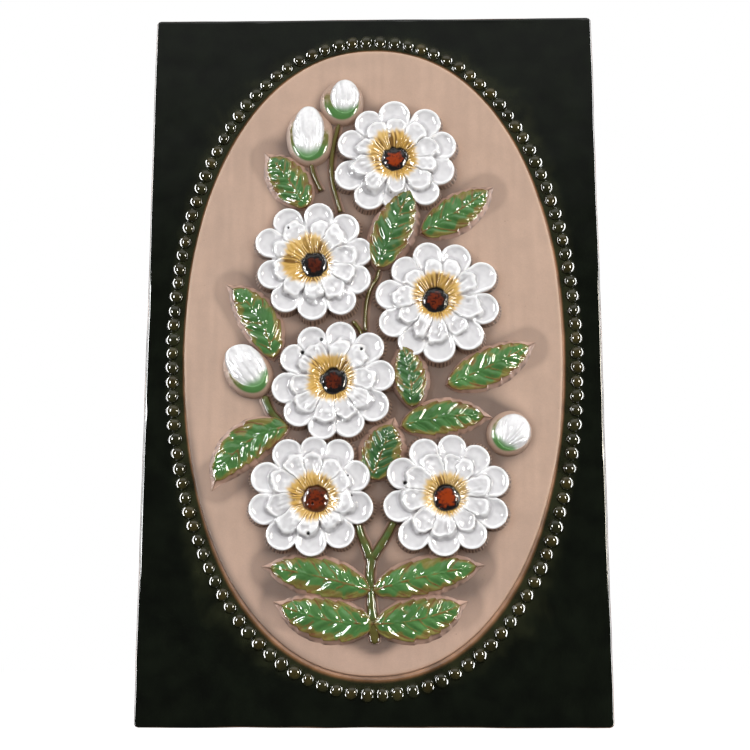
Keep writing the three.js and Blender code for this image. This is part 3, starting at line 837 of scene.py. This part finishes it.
def leaf_piece(number, leaf, material):
    stalk, tip, width, bow, lift, green = leaf
    start, end = np.array(stalk, float), np.array(tip, float)
    length = np.linalg.norm(end - start)
    way = (end - start) / length
    bend = (start + end) / 2 + np.array([-way[1], way[0]]) * 2 * bow
    along = np.linspace(-LEAF["heel"], length + LEAF["tip"], LEAF["rows"])
    share = along / length
    t = share[:, None]
    centre = (1 - t) ** 2 * start + 2 * t * (1 - t) * bend + t ** 2 * end
    tangent = 2 * (1 - t) * (bend - start) + 2 * t * (end - bend)
    tangent /= np.linalg.norm(tangent, axis=1, keepdims=True)
    side_way = np.stack([-tangent[:, 1], tangent[:, 0]], axis=1)

    # Each side vein ends in a tooth of the outline.
    pitch = length / (LEAF["veins"] + 0.6)
    inner = np.clip(share, 0, 1)
    form = np.sin(math.pi * inner ** 0.9) ** 0.55
    halves = {}
    for sign in (1, -1):
        base = width / 2 * form
        cycle = vein_phase(along, base, sign, pitch) + 0.07 * noise(along + 40, 5.0 * sign, 6, 73 + number)
        tooth = LEAF["tooth"] * (1 - cycle % 1) ** 1.3 * blend(0, 0.12, cycle % 1)
        halves[sign] = np.maximum(base * (1.04 - tooth), 0.12)
    whole = np.clip((along + LEAF["heel"]) / (length + LEAF["heel"] + LEAF["tip"]), 0, 1)
    foot = (width / 2 + LEAF["draft"]) * np.sin(math.pi * whole ** 0.93) ** 0.66
    foot[0] = foot[-1] = 0.3

    sides = np.linspace(-1, 1, LEAF["columns"])
    a, s = np.meshgrid(along, sides, indexing="ij")
    half = np.where(s > 0, halves[1][:, None], halves[-1][:, None])
    reach = half * np.abs(s)
    crown = LEAF["crown"] + lift
    ends = blend(0, 0.16, inner)[:, None] * (1 - blend(0.86, 1, inner))[:, None]
    place = centre[:, None, :] + side_way[:, None, :] * (reach * np.sign(s))[..., None] + 300
    face = place[..., 0], place[..., 1]
    wander = noise(*face, 3.2, 70 + number)
    heights = crown - 1.3 * s ** 2 - 1.1 * (1 - ends) + 0.3 * np.sin(a * 0.25 + number)
    phase = vein_phase(a, reach, s, pitch) + 0.1 * wander
    to_vein = np.abs(phase - np.round(phase)) * pitch * 0.8
    present = blend(0.3, 1.2, np.round(phase) + 0.5) * (1 - blend(0.82, 0.98, a / length))
    side_vein = bump(to_vein, LEAF["vein_width"]) * present
    midrib = bump(reach, LEAF["midrib_width"]) * (1 - blend(0.9, 1, a / length))
    rim = blend(0.8, 0.98, np.abs(s))
    pillow = np.cos(math.tau * (phase - 0.5)) * (1 - rim) * blend(0.3, 1.5, reach) * ends
    veins = LEAF["vein_rise"] * side_vein + LEAF["midrib_rise"] * midrib
    heights += veins * (1 - rim) + 0.3 * rim + 0.45 * pillow + 0.22 * wander
    beyond = np.clip((a - length) / LEAF["tip"], 0, 1)
    heights = heights * (1 - 0.85 * beyond) * (1 - 0.5 * blend(0, LEAF["heel"], -a))
    colour, outside = leaf_colour(green, a, s, length, np.maximum(side_vein, midrib), wander, face)

    loops = [np.stack([s * half, heights], axis=-1)]
    paints, bares = [colour], [outside]
    for sign, column in ((1, -1), (-1, 0)):
        half = halves[sign][:, None]
        loop, paint, run = leaf_side(sign, half, heights[:, column], foot, whole, along, outside)
        loops.append(loop)
        paints.append(paint)
        bares.append(run)
    loop = np.concatenate(loops, axis=1)
    paint, bare = np.concatenate(paints, axis=1), np.concatenate(bares, axis=1)
    place = centre[:, None, :] + side_way[:, None, :] * loop[..., :1]
    rings = np.concatenate([place, loop[..., 1:] + GROUND], axis=-1)
    piece(f"leaf_{number}", [Shell(rings, paint, bare)], material)


# ---------- buds and stems ----------

def bud_colour(u, v, along, radius, heights, wrap, slope):
    """A white dome with a green foot, green sepals and bare clay between them, and how bare it is."""
    white = 1 - blend(0.96, 1.03, radius + 0.02 * noise(u + 20, v + 20, 1.5, 86))
    wear = 0.5 + 0.5 * rough_noise(u + 300, v + 300, 2.5, 84)
    colour = mix(WHITE, BODY_WHITE, wear)
    # Painted shade in the bud's grooves and hollows.
    colour = mix(colour, SHADED_WHITE, 0.7 * blend(0.02, 0.15, cavities(heights, 1)) * wear)
    low_end = blend(0.2, 1.0, -along + 0.3 * wear)
    green = mix(np.array(LEAF_OLIVE) * 0.8, LEAF_GREEN, low_end)
    green = mix(green, THIN_WHITE, 0.6 * (1 - low_end) * blend(0.4, 0.9, wear))
    green = mix(green, LEAF_BROWN, 0.6 * (1 - blend(0.15, 0.5, slope)))
    sepal = wrap * blend(0.35, 0.6, slope)
    ground = mix(mix(CLAY, STAINED_AND_SHADED_CLAY, 0.15), green, sepal)
    toward_stalk = blend(0.5, 0.95, -along + 0.15 * wear)
    colour = mix(colour, np.array(LEAF_GREEN) * 1.7, 0.9 * toward_stalk * blend(0.55, 0.95, radius))
    return mix(ground, colour, white), (1 - white) * (1 - sepal)


def bud_piece(number, bud, material):
    angles = np.linspace(0, math.tau, BUD["points"], endpoint=False)
    across_half, along_half = bud["cup_halves"]
    foot = 1 / np.hypot(np.cos(angles) / across_half, np.sin(angles) / along_half)
    foot = foot * (1 + 0.025 * round_noise(angles / math.tau, 9, 81, number))
    shares = 1 - (1 - np.linspace(0.02, 1, BUD["rings"])) ** 1.1
    reach = shares[:, None] * foot[None, :]
    u, v = reach * np.cos(angles), reach * np.sin(angles)
    turn = math.radians(bud["turn"])
    shift = np.array(bud["dome"]) - np.array(bud["cup"])
    du = shift[0] * math.cos(turn) + shift[1] * math.sin(turn)
    dv = shift[1] * math.cos(turn) - shift[0] * math.sin(turn)
    across, along = (u - du) / bud["halves"][0], (v - dv) / bud["halves"][1]
    radius = np.hypot(across, along)

    spread = across / np.maximum(1 + bud["fan"] * along, 0.35)
    wave = spread * bud["ribs"] + 0.45 * noise(across * 2 + 9, along + 9, 1, 82 + number)
    groove = np.abs((wave % 1) - 0.5) * 2
    grooves = 0.5 * (1 - blend(0, 0.7, groove)) * (1 - blend(0.7, 0.95, radius))
    bulge = np.clip(1 - np.clip(radius, 0, 1) ** 2.4, 0, 1) ** 0.6
    dome = BUD["shoulder"] + (BUD["height"] - BUD["shoulder"]) * bulge - grooves
    dome = np.where(radius < 1, dome, -3)

    # Sepals wrap the lower part of the dome. Bare clay slopes away where there are none.
    around = np.degrees(np.arctan2(-(u - du), -(v - dv)))
    low, high = bud["sepals"]
    wrap = blend(low - 18, low + 12, around) * (1 - blend(high - 12, high + 18, around))
    slope = np.clip((1 - shares[:, None]) * foot / 5, 0, 1)
    cup = (BUD["cup_height"] * (0.5 + 0.5 * wrap)) * np.sqrt(1 - (1 - slope) ** 2)
    cup = cup * (1 - 0.6 * blend(1.02, 0.9, radius))
    heights = soft_max(dome, cup, 0.35)
    colour, bare = bud_colour(u, v, along, radius, heights, wrap, slope)

    reach = np.vstack([reach, foot + 0.6])
    heights = np.vstack([heights, np.full(foot.shape, -ROOT)]) + GROUND
    colour = np.concatenate([colour, colour[-1:]])
    bare = np.vstack([bare, np.ones(foot.shape)])
    u, v = reach * np.cos(angles), reach * np.sin(angles)
    x = bud["cup"][0] + u * math.cos(turn) - v * math.sin(turn)
    z = bud["cup"][1] + u * math.sin(turn) + v * math.cos(turn)
    rings = np.stack([x, z, heights], axis=-1)
    last = (*bud["cup"], GROUND - ROOT)
    piece(f"bud_{number}", [Shell(rings, colour, bare, last=last)], material)


def stem_piece(number, stem, material):
    first, last, points = stem
    length = sum(math.dist(a, b) for a, b in zip(points[:-1], points[1:]))
    rows = max(STEM["fewest_rows"], int(length / STEM["step"]))
    place, way = spline(points, rows)
    side_way = np.stack([-way[:, 1], way[:, 0]], axis=1)
    share = np.linspace(0, 1, rows)
    half = (first + (last - first) * share) / 2
    half = half * (1 + 0.06 * noise(share * 9, number, 1, 91))
    half = half * np.sqrt(np.clip(1 - (1 - blend(0, 0.06, share)) ** 2, 0.05, 1))
    turns = np.radians(np.linspace(0, 180, STEM["columns"]))
    rod = np.stack([np.cos(turns), np.sin(turns) ** 0.8], axis=-1)
    across = half[:, None] * rod[None, :, 0]
    up = STEM["height"] * (half / half.max())[:, None] ** 0.5 * rod[None, :, 1] + 0.35
    skirt = (half + STEM["draft"])[:, None]
    across = np.concatenate([skirt, skirt * 0.86, across, -skirt * 0.86, -skirt], axis=1)
    flat = np.zeros((rows, 1))
    up = np.concatenate([flat - ROOT, flat + 0.05, up, flat + 0.05, flat - ROOT], axis=1)
    edge = np.clip(np.abs(across) / np.maximum(half[:, None], 0.1), 0, 2)
    bare = blend(0.93, 1.05, edge)
    patch = 0.5 + 0.5 * noise(share[:, None] * length + 20, across + 20, 3, 92)
    green = mix(np.array(LEAF_OLIVE) * 0.55, np.array(LEAF_GREEN) * 0.7, (0.1 + 0.6 * patch) * (first > 4))
    colour = mix(green, np.array(LEAF_BROWN) * 0.6, 0.8 * blend(0.5, 0.9, edge))
    colour = mix(colour, mix(PINK_CLAY, STAINED_AND_SHADED_CLAY, 0.5), bare)
    flatways = place[:, None, :] + side_way[:, None, :] * across[..., None]
    rings = np.concatenate([flatways, up[..., None] + GROUND], axis=-1)
    piece(f"stem_{number}", [Shell(rings, colour, bare)], material)


# ---------- materials ----------

def fill(node, inputs):
    """Sets a node's inputs to values, or links them to the outputs of other nodes."""
    for name, value in inputs.items():
        if isinstance(value, bpy.types.NodeSocket):
            node.id_data.links.new(value, node.inputs[name])
        else:
            node.inputs[name].default_value = value


def new_node(tree, kind, inputs, **settings):
    made = tree.nodes.new("ShaderNode" + kind)
    for name, value in settings.items():
        setattr(made, name, value)
    fill(made, inputs)
    return made


def fired_clay(name, gloss, ripple, mottle, speck):
    """Painted stoneware: glossy where it is glazed and grainy where the clay is bare.

    gloss is the glaze's roughness, ripple its unevenness, mottle how much its colour varies, and
    speck how many small iron spots and pinpricks it has.
    """
    material = bpy.data.materials.new(name)
    material.use_nodes = True
    tree = material.node_tree
    place = new_node(tree, "TexCoord", {}).outputs["Object"]
    paint = new_node(tree, "Attribute", {}, attribute_name="paint").outputs["Color"]
    bare = new_node(tree, "Attribute", {}, attribute_name="bare").outputs["Fac"]

    def noise_texture(scale, detail):
        return new_node(tree, "TexNoise", {"Vector": place, "Scale": scale, "Detail": detail}).outputs["Fac"]

    def ranged(source, low, high, to_low, to_high):
        return new_node(tree, "MapRange", {"Value": source, "From Min": low, "From Max": high,
                                           "To Min": to_low, "To Max": to_high}).outputs["Result"]

    def mixed_colour(kind, factor, first, second):
        made = new_node(tree, "Mix", {}, data_type="RGBA", blend_type=kind)
        fill(made, {0: factor, 6: first, 7: second})
        return made.outputs[2]

    # The scales are in bumps to the metre.
    cloud = noise_texture(90, 3.0)
    grain = noise_texture(1700, 2.0)
    chosen = noise_texture(260, 1.0)
    spots = new_node(tree, "TexVoronoi", {"Vector": place, "Scale": 330}).outputs["Distance"]

    light = ranged(cloud, 0.3, 0.7, 1 - mottle, 1 + mottle)
    colour = mixed_colour("MULTIPLY", 1.0, paint, light)
    colour = mixed_colour("MULTIPLY", bare, colour, ranged(grain, 0.3, 0.7, 0.95, 1.04))
    near = ranged(spots, 0.06, 0.16, 1.0, 0.0)
    some = ranged(chosen, 0.62, 0.68, 0.0, speck)
    both = new_node(tree, "Math", {0: near, 1: some}, operation="MULTIPLY").outputs[0]
    colour = mixed_colour("MIX", both, colour, (*IRON_SPOT, 1))

    shine = ranged(cloud, 0.3, 0.7, gloss * 0.8, gloss * 1.3)
    matt = ranged(grain, 0.3, 0.7, 0.62, 0.85)
    rough = new_node(tree, "Mix", {0: bare, 2: shine, 3: matt}).outputs[0]

    low = new_node(tree, "Bump", {"Strength": ripple, "Distance": 0.0004, "Height": cloud}).outputs["Normal"]
    strength = ranged(bare, 0, 1, 0.02, 0.22)
    high = new_node(tree, "Bump", {"Strength": strength, "Distance": 0.0002, "Height": grain, "Normal": low})
    fill(tree.nodes["Principled BSDF"], {"Specular IOR Level": 0.5, "Base Color": colour, "Roughness": rough,
                                         "Normal": high.outputs["Normal"]})
    return material


def plain(name, colour, glow):
    material = bpy.data.materials.new(name)
    material.use_nodes = True
    fill(material.node_tree.nodes["Principled BSDF"], {
        "Base Color": (*colour, 1), "Roughness": 0.8,
        "Emission Color": (1, 1, 1, 1), "Emission Strength": glow})
    return material


# ---------- the object ----------

dark = fired_clay("dark_glaze", gloss=0.06, ripple=0.12, mottle=0.4, speck=0.0)
clay = fired_clay("bare_clay", gloss=0.5, ripple=0.1, mottle=0.05, speck=0.35)
white = fired_clay("white_glaze", gloss=0.09, ripple=0.15, mottle=0.03, speck=0.12)
green = fired_clay("green_glaze", gloss=0.08, ripple=0.2, mottle=0.18, speck=0.1)

slab_piece(dark)
field_piece(clay)
bead_piece(dark)
for number, flower in enumerate(FLOWERS, 1):
    flower_piece(number, flower, white)
for number, leaf in enumerate(LEAVES, 1):
    leaf_piece(number, leaf, green)
for number, bud in enumerate(BUDS, 1):
    bud_piece(number, bud, white)
for number, stem in enumerate(STEMS, 1):
    stem_piece(number, stem, green)

# ---------- floor, light and camera, in metres ----------

FLOOR = {"half_size": 4, "below": 0.05}
CAMERA = {"lens": 64.8, "sensor": 36, "place": (0.01455, -0.70813, -0.14897), "turn": (101.272, 0.018, 1.132)}


def area_light(name, place, target, width, height, power, seen_in, colour=(1, 1, 1)):
    """A soft box that falls on matt surfaces, shows in shiny ones, or both, as seen_in says."""
    data = bpy.data.lights.new(name, "AREA")
    data.shape = "RECTANGLE"
    data.size, data.size_y = width, height
    data.energy = power
    data.color = colour
    light = bpy.data.objects.new(name, data)
    bpy.context.scene.collection.objects.link(light)
    light.location = place
    light.visible_camera = False
    light.visible_diffuse = "matt" in seen_in
    light.visible_glossy = "shiny" in seen_in
    way = np.array(target, float) - np.array(place, float)
    tilt = math.acos(-way[2] / np.linalg.norm(way))
    light.rotation_euler = (tilt, 0, math.atan2(way[1], way[0]) - math.pi / 2)


def floor():
    half, depth = FLOOR["half_size"], cad_box[0][2] - FLOOR["below"]
    mesh = bpy.data.meshes.new("floor")
    corners = [(-half, -half, depth), (half, -half, depth), (half, half, depth), (-half, half, depth)]
    mesh.from_pydata(corners, [], [(0, 1, 2, 3)])
    mesh.materials.append(plain("pale_floor", (0.5, 0.5, 0.5), 0.85))
    made = bpy.data.objects.new("floor", mesh)
    made.visible_glossy = False
    made.visible_diffuse = False
    bpy.context.scene.collection.objects.link(made)


def studio():
    """White behind the object for the camera, and a dim room, brighter above, for everything else."""
    world = bpy.data.worlds.new("studio")
    bpy.context.scene.world = world
    world.use_nodes = True
    tree = world.node_tree
    way = new_node(tree, "TexCoord", {}).outputs["Generated"]
    parts = new_node(tree, "SeparateXYZ", {0: way})
    ramp = new_node(tree, "ValToRGB", {"Fac": parts.outputs["Z"]})
    for element, height, grey in zip(ramp.color_ramp.elements, (0.26, 0.42), (0.07, 0.3)):
        element.position = height
        element.color = (grey, grey, grey, 1)
    seen = new_node(tree, "LightPath", {}).outputs["Is Camera Ray"]
    pick = new_node(tree, "Mix", {}, data_type="RGBA")
    fill(pick, {0: seen, 6: ramp.outputs["Color"], 7: (1, 1, 1, 1)})
    fill(tree.nodes["Background"], {"Color": pick.outputs[2]})


def camera():
    data = bpy.data.cameras.new("camera")
    data.lens = CAMERA["lens"]
    data.sensor_width = CAMERA["sensor"]
    made = bpy.data.objects.new("camera", data)
    made.location = CAMERA["place"]
    made.rotation_euler = [math.radians(turn) for turn in CAMERA["turn"]]
    bpy.context.scene.collection.objects.link(made)
    bpy.context.scene.camera = made


floor()
studio()
area_light("front_fill", (0, -2.0, 0.35), (0, 0, 0), 2.4, 2.0, 36, "matt")
area_light("left_fill", (-1.1, -1.0, -0.1), (0, 0, 0), 0.6, 0.9, 3, "matt")
area_light("right_fill", (1.1, -1.0, 0.1), (0, 0, 0), 0.6, 0.9, 6.5, "matt", (1, 0.98, 0.95))
area_light("left_box", (-0.9, -0.13, 0.12), (0, -0.13, 0.12), 0.17, 1.5, 37, "shiny")
area_light("right_box", (0.9, -0.13, 0.12), (0, -0.13, 0.12), 0.17, 1.5, 37, "shiny")
area_light("left_lamp", (-0.66, -0.9, 0.12), (0, 0, 0), 0.14, 0.38, 13, "shiny")
area_light("right_lamp", (0.66, -0.9, 0.12), (0, 0, 0), 0.14, 0.38, 13, "shiny", (1, 0.93, 0.8))
area_light("top_box", (0, -1.2, 1.7), (0, 0, 0), 2.4, 1.4, 10, "matt shiny")
bpy.context.scene.view_settings.view_transform = "Standard"
camera()
